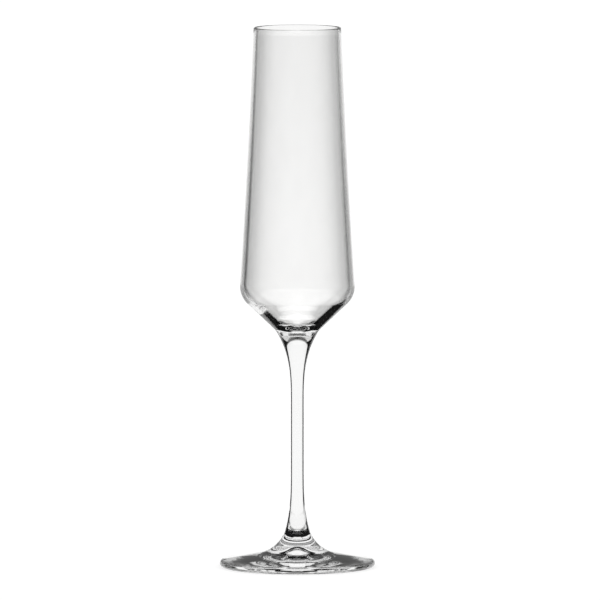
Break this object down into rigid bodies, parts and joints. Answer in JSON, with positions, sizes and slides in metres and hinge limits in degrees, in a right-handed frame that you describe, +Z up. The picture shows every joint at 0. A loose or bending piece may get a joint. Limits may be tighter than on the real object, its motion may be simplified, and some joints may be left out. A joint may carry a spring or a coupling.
{
  "type": "champagne flute",
  "caption": "Tall clear-glass flute: a thin-walled bowl that narrows to the rim, a slender flared stem and a wide round foot, for serving sparkling wine.",
  "frame": {"origin": "centre of the flat ring that the foot stands on, at table height", "axes": "+Z up along the stem, the axis of revolution; X and Y lie in the table plane"},
  "size_m": [0.0716, 0.0716, 0.25],
  "materials": {
    "clear_glass": "clear, fire-polished, smooth"
  },
  "bodies": {
    "root": {"foot": "clear_glass", "stem": "clear_glass", "bowl": "clear_glass"}
  },
  "joints": []
}
